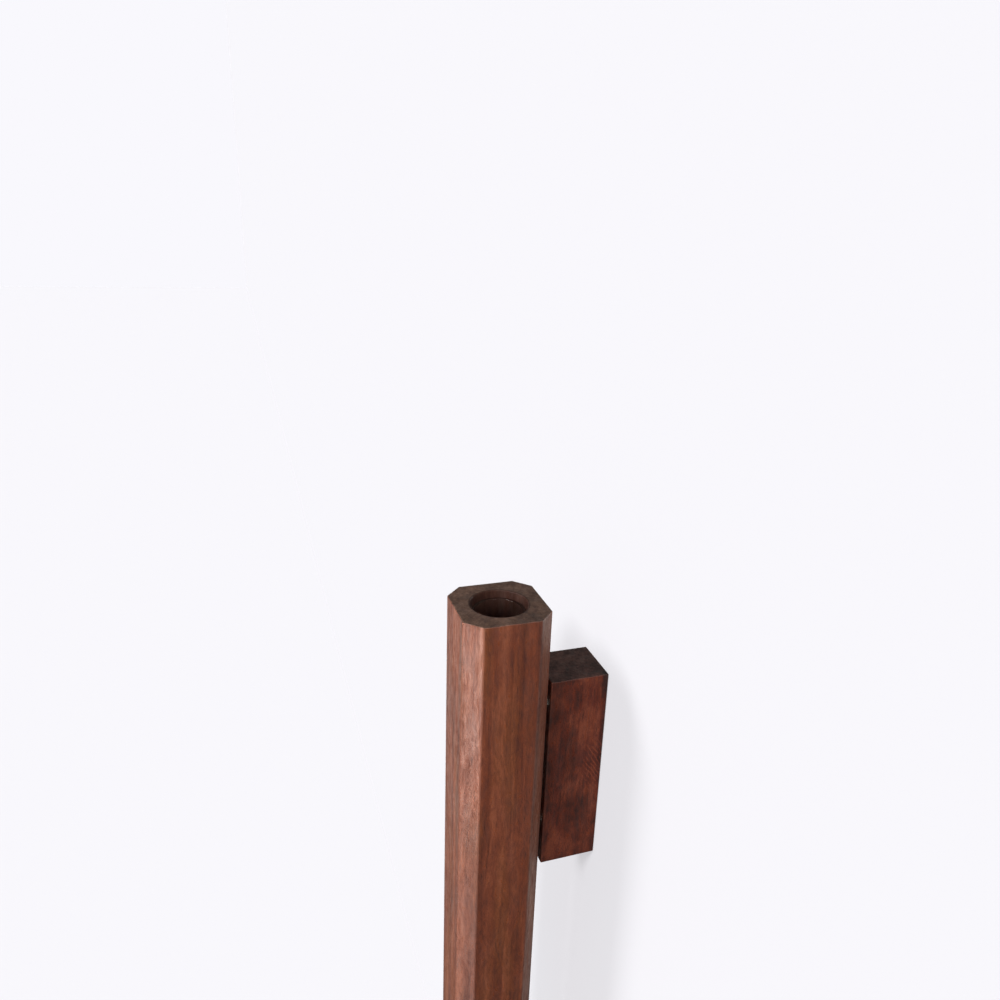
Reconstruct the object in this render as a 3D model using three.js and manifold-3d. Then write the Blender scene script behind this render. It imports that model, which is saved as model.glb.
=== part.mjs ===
// Wall vase: an octagonal walnut column with a glass tube in its bore.
// Magnets hold the column to a walnut block, and the block hangs on two wall screws.
// Lengths are in millimetres. The origin is the middle of the block's wall face,
// +Y points into the wall, the room is on the -Y side, and +Z points up.

import * as THREE from "three";
import { mergeVertices } from "three/addons/utils/BufferGeometryUtils.js";
import Module from "manifold-3d";

const wasm = await Module();
wasm.setup();

// Wall block
const blockWidth = 32;
const blockDepth = 35;
const blockHeight = 127;

// Vase column: a square post with its four corners planed off
const boreDiameter = 32;
const vaseWall = 9; // wood between the bore and a flat
const vaseCorner = 9; // leg of each planed corner
const vaseLength = 360;
const vaseRise = 45; // the vase's top above the block's top
const standOff = 2; // shadow gap between the block and the vase

// Eased edges of the wood
const arrisEase = 0.6;
const rimEase = 0.6;
const mouthEase = 0.8;

// Glass tube and the felt disc it stands on
const tubeClearance = 1;
const tubeWall = 1.5;
const tubeLength = 200;
const rimDrop = 4; // the tube's rim below the vase's top
const cushionThickness = 3;
const cushionClearance = 0.5;

// Pot magnets in the block: a ring magnet in a steel cup
const potDiameter = 20;
const potHeight = 6;
const potWall = 1.5;
const potBase = 1.8;
const potEase = 0.4;
const potEndMargin = 12; // wood between a pot and the block's end

// Steel discs in the vase, which the pot magnets hold
const strikeDiameter = 20;
const strikeThickness = 3;

// Keyhole hanger plates in the block's wall face
const plateLength = 38;
const plateWidth = 16;
const plateThickness = 1.6;
const plateInset = 0.2; // the plate's face below the wood
const plateEndMargin = 4; // wood between a plate and the block's end
const entryDiameter = 9;
const slotWidth = 4.6;
const slotTravel = 8; // from the entry hole's centre to the slot's end
const headRoomWidth = 10;
const headRoomDepth = 9; // room behind the plate for the wall screw's head
const plateScrewMargin = 5; // from a plate's end to its screw's centre

// Countersunk wood screws
const potScrew = { headDiameter: 7.5, shankDiameter: 4, length: 14 };
const plateScrew = { headDiameter: 6, shankDiameter: 3, length: 12 };
const strikeScrewHead = 6;
const strikeScrewShank = 3;
const screwCover = 2; // wood between a strike screw's tip and the bore
const headRim = 0.3; // straight edge of a countersunk head
const headInset = 0.2; // a head's top below the face it is sunk in

// Fits
const fitGap = 0.3; // between a piece and the pocket or hole it sits in
const cutOver = 1; // how far a cut runs out of the open face

// Facets of round forms
const boreFacets = 48;
const smallFacets = 32;
const screwFacets = 20;
const lipFacets = 6;
const bowlRings = 8;

// Worked out from the sizes above
const vaseWidth = boreDiameter + 2 * vaseWall;
const vaseTop = blockHeight / 2 + vaseRise;
const vaseAxis = -(blockDepth + standOff + vaseWidth / 2);
const tubeRadius = boreDiameter / 2 - tubeClearance;
const cushionTop = -(rimDrop + tubeLength + fitGap); // below the vase's top
const boreFloor = cushionTop - cushionThickness;
const magnetProud = standOff / 2; // each magnet face stands half the gap out of the wood
const potPocket = potHeight - magnetProud;
const strikePocket = strikeThickness - magnetProud;
const magnetLevel = blockHeight / 2 - potEndMargin - potDiameter / 2;
const plateLevel = blockHeight / 2 - plateEndMargin - plateLength / 2;
const plateScrewLevel = plateLength / 2 - plateScrewMargin;
const plateRecess = plateThickness + plateInset;
const strikeScrew = {
  headDiameter: strikeScrewHead,
  shankDiameter: strikeScrewShank,
  length: vaseWall - screwCover + magnetProud - headInset,
};
const levels = [
  { name: "upper", side: 1 },
  { name: "lower", side: -1 },
];

// Materials
const finishes = {
  vaseWalnut: { color: 0x6c3e2c, roughness: 0.55, metalness: 0 },
  blockWalnut: { color: 0x59301f, roughness: 0.55, metalness: 0 },
  glass: { color: 0xdfe8e6, roughness: 0.05, metalness: 0, transparent: true, opacity: 0.35 },
  felt: { color: 0x3a3634, roughness: 0.95, metalness: 0 },
  nickel: { color: 0xb9b8b4, roughness: 0.25, metalness: 1 },
  magnet: { color: 0x8f9092, roughness: 0.35, metalness: 0.9 },
  zinc: { color: 0xa7a9aa, roughness: 0.4, metalness: 1 },
};

// Joins the vertices that faces share and drops the faces that close up on an axis.
function toSolid(geometry) {
  const bare = geometry.clone();
  bare.deleteAttribute("normal");
  bare.deleteAttribute("uv");
  const merged = mergeVertices(bare);
  const index = merged.index.array;
  const corners = [];
  for (let i = 0; i < index.length; i += 3) {
    const [a, b, c] = [index[i], index[i + 1], index[i + 2]];
    if (a !== b && b !== c && c !== a) {
      corners.push(a, b, c);
    }
  }
  const mesh = new wasm.Mesh({
    numProp: 3,
    vertProperties: new Float32Array(merged.attributes.position.array),
    triVerts: new Uint32Array(corners),
  });
  return new wasm.Manifold(mesh);
}

function toGeometry(solid) {
  const mesh = solid.getMesh();
  const geometry = new THREE.BufferGeometry();
  geometry.setAttribute("position", new THREE.BufferAttribute(mesh.vertProperties, 3));
  geometry.setIndex(new THREE.BufferAttribute(mesh.triVerts, 1));
  geometry.computeVertexNormals();
  return geometry;
}

// Turns a profile of radius and height pairs about the Z axis.
function turned(profile, facets) {
  const points = profile.map(([radius, height]) => new THREE.Vector2(radius, height));
  return new THREE.LatheGeometry(points, facets).rotateX(Math.PI / 2);
}

function cylinder(radius, bottom, top, facets) {
  const profile = [[0, bottom], [radius, bottom], [radius, top], [0, top]];
  return turned(profile, facets);
}

// An outline through the given corners, each one planed off by a narrow flat.
function easedOutline(corners, ease) {
  const points = corners.flatMap((corner, i) => {
    const before = corners.at(i - 1);
    const after = corners[(i + 1) % corners.length];
    return [before, after].map((end) => {
      return corner.clone().add(end.clone().sub(corner).setLength(ease));
    });
  });
  return new THREE.Shape(points);
}

// A square post's outline with its corners cut back by one leg each way.
function postOutline(width, depth, corner) {
  const x = width / 2;
  const y = depth / 2;
  const corners = [
    [x, -y + corner], [x, y - corner], [x - corner, y], [-x + corner, y],
    [-x, y - corner], [-x, -y + corner], [-x + corner, -y], [x - corner, -y],
  ];
  return corners.map(([u, v]) => new THREE.Vector2(u, v));
}

function boxOutline(width, depth) {
  const x = width / 2;
  const y = depth / 2;
  const corners = [[x, -y], [x, y], [-x, y], [-x, -y]];
  return corners.map(([u, v]) => new THREE.Vector2(u, v));
}

// An upright post from bottom to top, with the edges of both its ends eased.
function easedPost(outline, bottom, top, ease) {
  const geometry = new THREE.ExtrudeGeometry(easedOutline(outline, arrisEase), {
    depth: top - bottom - 2 * ease,
    bevelThickness: ease,
    bevelSize: ease,
    bevelOffset: -ease,
    bevelSegments: 1,
  });
  return geometry.translate(0, 0, bottom + ease);
}

// A straight-sided bar with round ends, long in Y, between two heights.
function roundEndedBar(width, length, bottom, top) {
  const radius = width / 2;
  const reach = length / 2 - radius;
  const shape = new THREE.Shape();
  shape.absarc(0, reach, radius, 0, Math.PI, false);
  shape.absarc(0, -reach, radius, Math.PI, 2 * Math.PI, false);
  shape.closePath();
  const depth = top - bottom;
  const curveSegments = smallFacets / 2;
  const geometry = new THREE.ExtrudeGeometry(shape, { depth, bevelEnabled: false, curveSegments });
  return geometry.translate(0, 0, bottom);
}

// A place on an upright face. What it holds is drawn on the face's XY plane with +Z standing out.
function facingRoom(y, z) {
  const place = new THREE.Group();
  place.position.set(0, y, z);
  place.rotation.set(Math.PI / 2, 0, 0);
  return place;
}

function facingWall(y, z) {
  const place = new THREE.Group();
  place.position.set(0, y, z);
  place.rotation.set(Math.PI / 2, 0, Math.PI, "ZYX");
  return place;
}

function cut(solid, tools, place) {
  place.updateMatrix();
  const placed = tools.map((tool) => toSolid(tool.applyMatrix4(place.matrix)));
  return placed.reduce((rest, tool) => rest.subtract(tool), solid);
}

function piece(name, solid, finish) {
  const material = new THREE.MeshStandardMaterial(finishes[finish]);
  const mesh = new THREE.Mesh(toGeometry(solid), material);
  mesh.name = name;
  return mesh;
}

// A countersunk screw with its head's top at height 0 and its tip below.
function screw(size) {
  const head = size.headDiameter / 2;
  const shank = size.shankDiameter / 2;
  const neck = -(headRim + head - shank);
  const profile = [
    [0, -size.length], [shank, -size.length + size.shankDiameter], [shank, neck],
    [head, -headRim], [head, 0], [0, 0],
  ];
  return toSolid(turned(profile, screwFacets));
}

// The hole that a countersunk screw leaves when its head's top is at the given height.
function screwHole(size, headTop) {
  const head = size.headDiameter / 2 + fitGap;
  const shank = size.shankDiameter / 2 + fitGap;
  const rim = headTop - headRim;
  const profile = [
    [0, headTop - size.length - fitGap], [shank, headTop - size.length - fitGap],
    [shank, rim - head + shank], [head, rim], [head, headTop + cutOver], [0, headTop + cutOver],
  ];
  return turned(profile, screwFacets);
}

// Steel cup of a pot magnet, open at the top, with a hole for its screw.
function magnetCup() {
  const outer = potDiameter / 2;
  const inner = outer - potWall;
  const hole = potScrew.shankDiameter / 2 + fitGap;
  const profile = [
    [hole, 0], [outer - potEase, 0], [outer, potEase], [outer, potHeight], [inner, potHeight],
    [inner, potBase], [hole, potBase], [hole, 0],
  ];
  return toSolid(turned(profile, smallFacets));
}

// Ring magnet that lies in the cup, countersunk for the screw.
function magnetRing() {
  const outer = potDiameter / 2 - potWall - fitGap;
  const ring = toSolid(cylinder(outer, potBase, potHeight, smallFacets));
  return ring.subtract(toSolid(screwHole(potScrew, potHeight - headInset)));
}

function strikeDisc() {
  const radius = strikeDiameter / 2;
  const profile = [
    [0, 0], [radius, 0], [radius, strikeThickness - potEase],
    [radius - potEase, strikeThickness], [0, strikeThickness],
  ];
  const disc = toSolid(turned(profile, smallFacets));
  return disc.subtract(toSolid(screwHole(strikeScrew, strikeThickness - headInset)));
}

// The blind pocket for a round insert, and the hole of the screw that holds it.
function insertTools(diameter, depth, size, headTop) {
  const pocket = cylinder(diameter / 2 + fitGap, 0, depth + cutOver, smallFacets);
  return [pocket, screwHole(size, headTop)];
}

// Keyhole hanger: a wall screw's head goes in at the round entry and slides up the slot.
function keyholePlate() {
  let plate = toSolid(roundEndedBar(plateWidth, plateLength, 0, plateThickness));
  const entry = cylinder(entryDiameter / 2, -cutOver, plateThickness + cutOver, smallFacets);
  plate = plate.subtract(toSolid(entry.translate(0, -slotTravel / 2, 0)));
  const slotLength = slotTravel + slotWidth;
  const slot = roundEndedBar(slotWidth, slotLength, -cutOver, plateThickness + cutOver);
  plate = plate.subtract(toSolid(slot));
  for (const { side } of levels) {
    const hole = screwHole(plateScrew, plateThickness - headInset);
    plate = plate.subtract(toSolid(hole.translate(0, side * plateScrewLevel, 0)));
  }
  return plate;
}

// Recess, head room and screw holes that a keyhole plate needs in the block.
function plateTools() {
  const recess = roundEndedBar(
    plateWidth + 2 * fitGap, plateLength + 2 * fitGap, 0, plateRecess + cutOver,
  );
  const headRoom = roundEndedBar(
    headRoomWidth, slotTravel + headRoomWidth, -headRoomDepth, plateThickness,
  );
  const holes = levels.map(({ side }) => {
    const hole = screwHole(plateScrew, plateThickness - headInset);
    return hole.translate(0, side * plateScrewLevel, 0);
  });
  return [recess, headRoom, ...holes];
}

const potPlace = (side) => facingRoom(-(blockDepth - potPocket), side * magnetLevel);
const platePlace = (side) => facingWall(-plateRecess, side * plateLevel);

function wallBlock() {
  const outline = boxOutline(blockWidth, blockDepth);
  const post = easedPost(outline, -blockHeight / 2, blockHeight / 2, rimEase);
  let block = toSolid(post.translate(0, -blockDepth / 2, 0));
  for (const { side } of levels) {
    const pocket = insertTools(potDiameter, potPocket, potScrew, potHeight - headInset);
    block = cut(block, pocket, potPlace(side));
    block = cut(block, plateTools(), platePlace(side));
  }
  return block;
}

// The vase's own frame has its origin at the centre of its top face.
const strikePlace = (side) => {
  return facingWall(vaseWidth / 2 - strikePocket, side * magnetLevel - vaseTop);
};

function vaseBody() {
  const outline = postOutline(vaseWidth, vaseWidth, vaseCorner);
  let body = toSolid(easedPost(outline, -vaseLength, 0, rimEase));
  const radius = boreDiameter / 2;
  const bore = turned([
    [0, boreFloor], [radius, boreFloor], [radius, -mouthEase],
    [radius + mouthEase + cutOver, cutOver], [0, cutOver],
  ], boreFacets);
  body = body.subtract(toSolid(bore));
  for (const { side } of levels) {
    const headTop = strikeThickness - headInset;
    const pocket = insertTools(strikeDiameter, strikePocket, strikeScrew, headTop);
    body = cut(body, pocket, strikePlace(side));
  }
  return body;
}

// Points of an arc from one angle to another, both in radians up from the horizontal.
function arcPoints(radius, centreX, centreY, from, to, steps) {
  return Array.from({ length: steps + 1 }, (_, i) => {
    const angle = from + ((to - from) * i) / steps;
    return [centreX + radius * Math.cos(angle), centreY + radius * Math.sin(angle)];
  });
}

// Test tube with a round bottom and a melted rim, its rim's top at height 0.
function glassTube() {
  const bowlCentre = tubeRadius - tubeLength;
  const lip = tubeWall / 2;
  const right = Math.PI / 2;
  const outside = arcPoints(tubeRadius, 0, bowlCentre, -right, 0, bowlRings);
  const rim = arcPoints(lip, tubeRadius - lip, -lip, 0, Math.PI, lipFacets);
  const inside = arcPoints(tubeRadius - tubeWall, 0, bowlCentre, 0, -right, bowlRings);
  outside[0][0] = 0;
  inside[bowlRings][0] = 0;
  return toSolid(turned([...outside, ...rim, ...inside], boreFacets));
}

function tubeCushion() {
  const radius = boreDiameter / 2 - cushionClearance;
  return toSolid(cylinder(radius, 0, cushionThickness, boreFacets));
}

function addPotMagnet(group, { name, side }) {
  const place = potPlace(side);
  const fastener = piece(`${name}_magnet_screw`, screw(potScrew), "zinc");
  fastener.position.z = potHeight - headInset;
  place.add(piece(`${name}_magnet_cup`, magnetCup(), "nickel"));
  place.add(piece(`${name}_magnet_ring`, magnetRing(), "magnet"));
  place.add(fastener);
  group.add(place);
}

function addKeyholePlate(group, { name, side }) {
  const place = platePlace(side);
  place.add(piece(`${name}_keyhole_plate`, keyholePlate(), "zinc"));
  for (const end of levels) {
    const fastener = piece(`${name}_plate_${end.name}_screw`, screw(plateScrew), "zinc");
    fastener.position.set(0, end.side * plateScrewLevel, plateThickness - headInset);
    place.add(fastener);
  }
  group.add(place);
}

function addStrikeDisc(group, { name, side }) {
  const place = strikePlace(side);
  const fastener = piece(`${name}_strike_screw`, screw(strikeScrew), "zinc");
  fastener.position.z = strikeThickness - headInset;
  place.add(piece(`${name}_strike_disc`, strikeDisc(), "nickel"));
  place.add(fastener);
  group.add(place);
}

function addTube(group) {
  const cushion = piece("tube_cushion", tubeCushion(), "felt");
  cushion.position.z = boreFloor;
  const tube = piece("glass_tube", glassTube(), "glass");
  tube.position.z = -rimDrop;
  group.add(cushion, tube);
}

const group = new THREE.Group();
group.add(piece("wall_block", wallBlock(), "blockWalnut"));

const vase = new THREE.Group();
vase.position.set(0, vaseAxis, vaseTop);
vase.add(piece("vase_body", vaseBody(), "vaseWalnut"));
addTube(vase);

for (const level of levels) {
  addPotMagnet(group, level);
  addKeyholePlate(group, level);
  addStrikeDisc(vase, level);
}
group.add(vase);

export default group;
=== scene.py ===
"""Wall vase: a walnut column with a glass tube in its bore, held by magnets to a walnut block.

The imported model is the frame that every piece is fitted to. Lengths are in metres,
+Y points into the wall, the room is on the -Y side and +Z points up.
"""

import math

import bmesh
import bpy
from bpy.props import FloatProperty, FloatVectorProperty, PointerProperty
from mathutils import Matrix, Vector, noise


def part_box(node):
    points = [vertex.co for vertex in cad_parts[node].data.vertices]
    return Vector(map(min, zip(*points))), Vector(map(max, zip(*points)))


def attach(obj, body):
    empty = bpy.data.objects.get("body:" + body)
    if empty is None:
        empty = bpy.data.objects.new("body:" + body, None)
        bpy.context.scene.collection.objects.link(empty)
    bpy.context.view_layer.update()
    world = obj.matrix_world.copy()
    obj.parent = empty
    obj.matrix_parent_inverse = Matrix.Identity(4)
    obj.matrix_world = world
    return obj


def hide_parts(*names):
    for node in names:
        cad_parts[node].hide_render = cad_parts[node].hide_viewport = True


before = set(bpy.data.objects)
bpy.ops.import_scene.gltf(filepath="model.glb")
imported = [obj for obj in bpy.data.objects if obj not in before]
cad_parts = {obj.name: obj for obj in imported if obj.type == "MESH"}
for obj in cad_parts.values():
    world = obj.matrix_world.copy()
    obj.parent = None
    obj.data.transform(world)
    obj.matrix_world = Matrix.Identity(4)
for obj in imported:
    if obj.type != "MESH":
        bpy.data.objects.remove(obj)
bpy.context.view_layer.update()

bl_info = {
    "name": "Walnut Wall Vase",
    "version": (1, 0, 0),
    "blender": (4, 5, 0),
    "location": "3D View > Sidebar > Wall Vase",
    "description": "Builds a magnetic walnut wall vase, its wall block and its fittings",
    "category": "Add Mesh",
}

MM = 0.001

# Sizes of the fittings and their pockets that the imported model's boxes don't give
CUSHION_CLEARANCE = 0.5 * MM
FIT_GAP = 0.3 * MM
CUP_WALL = 1.5 * MM
CUP_BASE = 1.8 * MM
KEYHOLE_ENTRY = 9 * MM
KEYHOLE_SLOT = 4.6 * MM
KEYHOLE_TRAVEL = 8 * MM
HEAD_ROOM_WIDTH = 10 * MM
HEAD_ROOM_DEPTH = 9 * MM
# How far past the bore's radius the painted shade on the bore's wall reaches
BORE_SHADE_MARGIN = 0.3 * MM
# How far a cutting body reaches past the surface that it opens
CUT_OVER = 1 * MM

# Wood screws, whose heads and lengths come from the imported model
MAGNET_SHANK = 4 * MM
PLATE_SHANK = 3 * MM
STRIKE_SHANK = 3 * MM
HEAD_RIM = 0.3 * MM
HEAD_EDGE = 0.12 * MM
THREAD_PITCH = 1.3 * MM
THREAD_DEPTH = 0.35 * MM
THREAD_STEEPNESS = 1.8
RINGS_PER_TURN = 8

# A screw's cross recess in shares of its head's radius, and how much its floor narrows
RECESS_REACH = 0.6
RECESS_HALF_WIDTH = 0.18
RECESS_DEPTH = 0.52
RECESS_FLOOR = (0.35, 0.6)

# Facets of round forms
FINE_FACETS = 128
PLAIN_FACETS = 64
SCREW_FACETS = 32
ARC_STEPS = 6
BOWL_STEPS = 24
EDGE_STEPS = 4
# A ring of vertices narrower than this is a single point
ON_AXIS = 0.001 * MM

LEVELS = ("upper", "lower")
# Turns of a fitting that is made upright, by what its top then faces
FACING_ROOM = Matrix.Rotation(math.pi / 2, 4, "X")
TURNS = {"room": FACING_ROOM, "wall": Matrix.Rotation(math.pi, 4, "Z") @ FACING_ROOM}


def srgb(red, green, blue):
    """Turns a screen colour of 0 to 255 into the linear colour that shaders use, as sRGB says."""
    channels = []
    for value in (red, green, blue):
        share = value / 255
        if share <= 0.04045:
            channels.append(share / 12.92)
        else:
            channels.append(((share + 0.055) / 1.055) ** 2.4)
    return tuple(channels)


def colour_property(name, description, value):
    """A colour that a user can change, in linear values."""
    return FloatVectorProperty(
        name=name, description=description, subtype="COLOR", size=3, min=0, max=1, default=value
    )


def share_property(name, description, value):
    """A strength or a share from 0 to 1."""
    return FloatProperty(
        name=name, description=description, subtype="FACTOR", min=0, max=1, default=value
    )


def level_property(name, description, value):
    """A lamp's level. At 1 a colour that faces the lamp renders as it is written."""
    return FloatProperty(name=name, description=description, min=0, default=value)


def length_property(name, description, value, least=0):
    return FloatProperty(
        name=name, description=description, unit="LENGTH", min=least, default=value
    )


def place_property(name, description, value):
    return FloatVectorProperty(
        name=name, description=description, subtype="TRANSLATION", unit="LENGTH", size=3,
        default=value,
    )


def angle_property(name, description, degrees):
    return FloatProperty(
        name=name, description=description, subtype="ANGLE", default=math.radians(degrees)
    )


class VaseSizes(bpy.types.PropertyGroup):
    """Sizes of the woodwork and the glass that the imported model's boxes don't give."""

    corner_leg: length_property("Corner leg", "Width planed off beside each corner", 9 * MM)
    edge_round: length_property("Edge rounding", "Radius of the wood's sanded edges", 0.7 * MM)
    mouth_round: length_property("Mouth rounding", "Radius of the bore's top edge", 0.9 * MM)
    glass_wall: length_property("Glass wall", "Thickness of the tube's glass", 1.5 * MM)


class VaseWood(bpy.types.PropertyGroup):
    """The column's walnut."""

    light: colour_property("Light wood", "Colour of the early wood", srgb(144, 83, 59))
    middle: colour_property("Wood", "Main colour of the wood", srgb(114, 59, 40))
    warm: colour_property("Warm wood", "Colour of the yellower stretches", srgb(114, 64, 36))
    dark: colour_property("Dark wood", "Colour of the late wood", srgb(74, 35, 26))
    end_shade: share_property("End grain", "Brightness of the end grain", 0.68)
    end_hue: share_property("End grain hue", "Turn of the end grain's colour, even at 0.5", 0.514)
    fleck_sheen: share_property("Mottle", "Strength of the patches of leaning fibres", 0.7)
    cloudiness: share_property("Cloudiness", "Strength of the light and dark clouds", 0.26)
    ring_spacing: length_property("Ring spacing", "Width of one year's growth", 6.4 * MM, 1 * MM)
    pith: place_property("Pith", "Place of the tree's centre", (-0.052, -0.128, 0))


class BlockWood(bpy.types.PropertyGroup):
    """The wall block's darker and more figured walnut."""

    light: colour_property("Light wood", "Colour of the early wood", srgb(123, 62, 43))
    middle: colour_property("Wood", "Main colour of the wood", srgb(93, 42, 29))
    warm: colour_property("Warm wood", "Colour of the redder stretches", srgb(98, 40, 30))
    dark: colour_property("Dark wood", "Colour of the late wood", srgb(54, 26, 23))
    end_shade: share_property("End grain", "Brightness of the end grain", 0.64)
    end_hue: share_property("End grain hue", "Turn of the end grain's colour, even at 0.5", 0.5)
    fleck_sheen: share_property("Mottle", "Strength of the patches of leaning fibres", 0.75)
    cloudiness: share_property("Cloudiness", "Strength of the light and dark clouds", 0.95)
    ring_spacing: length_property("Ring spacing", "Width of one year's growth", 7.5 * MM, 1 * MM)
    pith: place_property("Pith", "Place of the tree's centre", (0.045, 0.040, 0))
    figure: share_property("Figure", "Strength of the cross ripples", 0.85)


class FittingFinish(bpy.types.PropertyGroup):
    """Colours of the metal fittings, the glass and the felt."""

    nickel: colour_property("Nickel", "Nickel plate on cups and discs", srgb(214, 209, 200))
    magnet: colour_property("Magnet", "Plate on the ring magnets", srgb(172, 173, 176))
    zinc: colour_property("Zinc", "Zinc plate on the hanger plates", srgb(196, 199, 203))
    screw: colour_property("Screw", "Zinc plate on the screws", srgb(205, 202, 192))
    glass: colour_property("Glass", "Tint of the tube", srgb(247, 251, 250))
    felt: colour_property("Felt", "Colour of the cushion", srgb(58, 54, 52))


class StageLook(bpy.types.PropertyGroup):
    """Backdrop, lamps and camera."""

    backdrop: colour_property("Backdrop", "Colour behind the vase", srgb(249, 248, 253))
    key_level: level_property("Key lamp", "Light from above the vase's front", 1.2)
    low_level: level_property("Low lamp", "Light from below the key lamp, for the sheen", 0.46)
    side_level: level_property("Side lamp", "Light from beside the camera", 0.28)
    floor_level: level_property("Floor lamp", "Light that the floor throws back", 0.08)
    wall_level: level_property("Wall lamp", "Light that the wall throws back", 0.3)
    room_level: level_property("Room light", "Even light from all round", 0.26)
    shadow_share: share_property("Shadow", "Share of the backdrop's light a shadow takes", 0.17)
    azimuth: angle_property("Azimuth", "Camera's turn from the vase's front", 71.3)
    elevation: angle_property("Elevation", "Camera's height angle", 19.63)
    roll: angle_property("Roll", "Camera's tilt about its own axis", 1.94)
    place: place_property("Camera place", "Where the camera stands", (0.3625, -0.1862, 0.3045))
    lens: FloatProperty(
        name="Lens", description="Focal length on a 36 mm sensor", unit="CAMERA", min=1,
        default=28.3,
    )


def arithmetic(operation, reflected=False):
    """A Python operator that adds a Math node."""

    def operator(signal, other):
        values = (other, signal) if reflected else (signal, other)
        return signal.graph.maths(operation, *values)

    return operator


class Signal:
    """A shader socket that can be used in arithmetic."""

    def __init__(self, graph, socket):
        self.graph = graph
        self.socket = socket

    def __abs__(self):
        return self.graph.maths("ABSOLUTE", self)

    __add__ = arithmetic("ADD")
    __radd__ = arithmetic("ADD", reflected=True)
    __sub__ = arithmetic("SUBTRACT")
    __rsub__ = arithmetic("SUBTRACT", reflected=True)
    __mul__ = arithmetic("MULTIPLY")
    __rmul__ = arithmetic("MULTIPLY", reflected=True)
    __truediv__ = arithmetic("DIVIDE")
    __rtruediv__ = arithmetic("DIVIDE", reflected=True)
    at_least = arithmetic("MAXIMUM")
    at_most = arithmetic("MINIMUM")


class Graph:
    """A node tree, with one method that adds any node."""

    def __init__(self, tree):
        self.tree = tree
        tree.nodes.clear()

    def node(self, kind, settings=None, inputs=None, output=0):
        """Adds a node, sets it up, fills its sockets and returns one of its outputs."""
        node = self.tree.nodes.new(kind)
        for name, value in (settings or {}).items():
            if name == "stops":
                self.set_stops(node.color_ramp, value)
            else:
                setattr(node, name, value)
        for name, value in (inputs or {}).items():
            if isinstance(value, Signal):
                self.tree.links.new(value.socket, node.inputs[name])
            else:
                node.inputs[name].default_value = value
        return Signal(self, node.outputs[output]) if node.outputs else None

    @staticmethod
    def set_stops(ramp, stops):
        while len(ramp.elements) < len(stops):
            ramp.elements.new(1)
        for element, (position, colour) in zip(ramp.elements, stops):
            element.position = position
            element.color = (*colour, 1)

    def maths(self, operation, *values):
        return self.node("ShaderNodeMath", {"operation": operation}, dict(enumerate(values)))

    def vector_maths(self, operation, *values, output=0):
        inputs = dict(enumerate(values))
        return self.node("ShaderNodeVectorMath", {"operation": operation}, inputs, output)

    def scaled(self, vector, factors):
        return self.vector_maths("MULTIPLY", vector, factors)

    def shifted(self, vector, step):
        return self.vector_maths("ADD", vector, step)

    def length(self, vector):
        return self.vector_maths("LENGTH", vector, output="Value")

    def dot(self, vector, other):
        return self.vector_maths("DOT_PRODUCT", vector, other, output="Value")

    def axes(self, vector):
        """A vector's three numbers."""
        first = self.node("ShaderNodeSeparateXYZ", None, {0: vector})
        return [Signal(self, socket) for socket in first.socket.node.outputs]

    def off_axis(self, vector):
        """How far a place is from the upright axis through the origin."""
        return self.length(self.scaled(vector, (1, 1, 0)))

    def noise(self, vector, scale=None, detail=2.0, roughness=0.5, output=0):
        """Noise of about one lump to each unit of the vector, once that is scaled."""
        place = self.scaled(vector, scale) if scale else vector
        inputs = {"Vector": place, "Scale": 1.0, "Detail": detail, "Roughness": roughness}
        return self.node("ShaderNodeTexNoise", None, inputs, output)

    def step(self, value, low, high):
        """A soft step from 0 at low to 1 at high."""
        settings = {"interpolation_type": "SMOOTHSTEP"}
        inputs = {"Value": value, "From Min": low, "From Max": high}
        return self.node("ShaderNodeMapRange", settings, inputs)

    def blend(self, share, first, second):
        """Mixes two colours."""
        settings = {"data_type": "RGBA"}
        return self.node("ShaderNodeMix", settings, {0: share, 6: first, 7: second}, 2)

    def ramp(self, value, stops):
        return self.node("ShaderNodeValToRGB", {"stops": stops}, {0: value})

    def bump(self, height, distance, strength):
        inputs = {"Height": height, "Distance": distance, "Strength": strength}
        return self.node("ShaderNodeBump", None, inputs)

    def millimetres(self):
        """The place on the piece, in millimetres of the frame."""
        place = self.node("ShaderNodeTexCoord", output="Object")
        return self.scaled(place, (1 / MM, 1 / MM, 1 / MM))

    def principled(self, inputs):
        shader = self.node("ShaderNodeBsdfPrincipled", None, inputs)
        self.node("ShaderNodeOutputMaterial", None, {"Surface": shader})


def new_material(name):
    material = bpy.data.materials.new(name)
    material.use_nodes = True
    return material, Graph(material.node_tree)


def opaque(colour, brightness=1):
    """A colour for a shader's socket, made darker or lighter by its brightness."""
    return (*[value * brightness for value in colour], 1)


def centred(value):
    """Moves a noise of 0 to 1 so that its middle is 0."""
    return value - 0.5


def patch(graph, place, centre, reach):
    """A soft patch round one place, as far as its reach on each axis."""
    from_centre = graph.shifted(place, [-value for value in centre])
    away = graph.length(graph.scaled(from_centre, [1 / value for value in reach]))
    return 1 - graph.step(away, 0.2, 1.0)


def painted_bore_shade(graph, place, centre, radius):
    """1 on the wall of the bore, whose colour gets painted shade, as deep in a hole, and whose
    wood gets rougher.
    """
    from_axis = graph.off_axis(graph.shifted(place, [-value for value in centre]))
    return 1 - graph.step(from_axis, radius, radius + 1)


def drift(graph, place, scale, detail, reach):
    """Slow waves that carry a place off by up to half of their reach to either side."""
    waves = graph.noise(place, scale, detail, output="Color")
    return graph.scaled(graph.shifted(waves, (-0.5, -0.5, -0.5)), reach)


def wandering(graph, place):
    """The place with slow sideways waves, so that no grain line runs dead straight."""
    return graph.shifted(place, drift(graph, place, (0.02, 0.02, 0.007), 1.0, (11, 11, 0)))


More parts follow.
